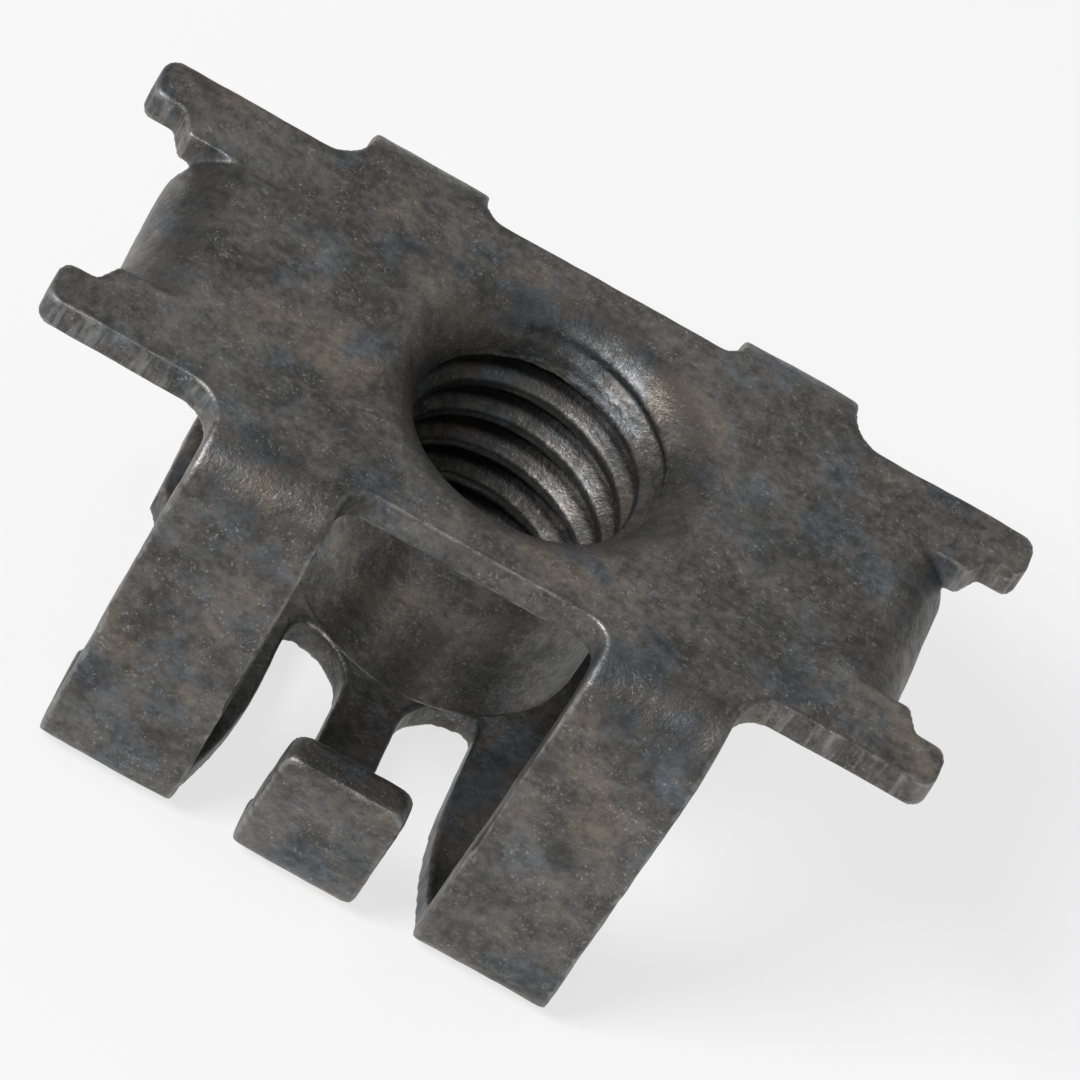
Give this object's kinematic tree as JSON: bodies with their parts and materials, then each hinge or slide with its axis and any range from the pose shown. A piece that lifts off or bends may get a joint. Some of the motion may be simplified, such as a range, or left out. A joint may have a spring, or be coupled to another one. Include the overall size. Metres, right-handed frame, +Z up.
{
  "type": "snap-in nut",
  "caption": "Folded steel snap-in nut with a drawn 3/8-16 barrel, four legs, four ears and a turned-up snap tongue.",
  "frame": {"origin": "on the bore axis, at the underside of the floor", "axes": "+X along the ears, +Y towards the two free back legs and away from the snap tongue, +Z up along the bore towards the plate"},
  "size_m": [0.0334, 0.0208, 0.0154],
  "materials": {
    "steel": "satin"
  },
  "bodies": {
    "root": {"snap_in_nut": "steel"}
  },
  "joints": []
}
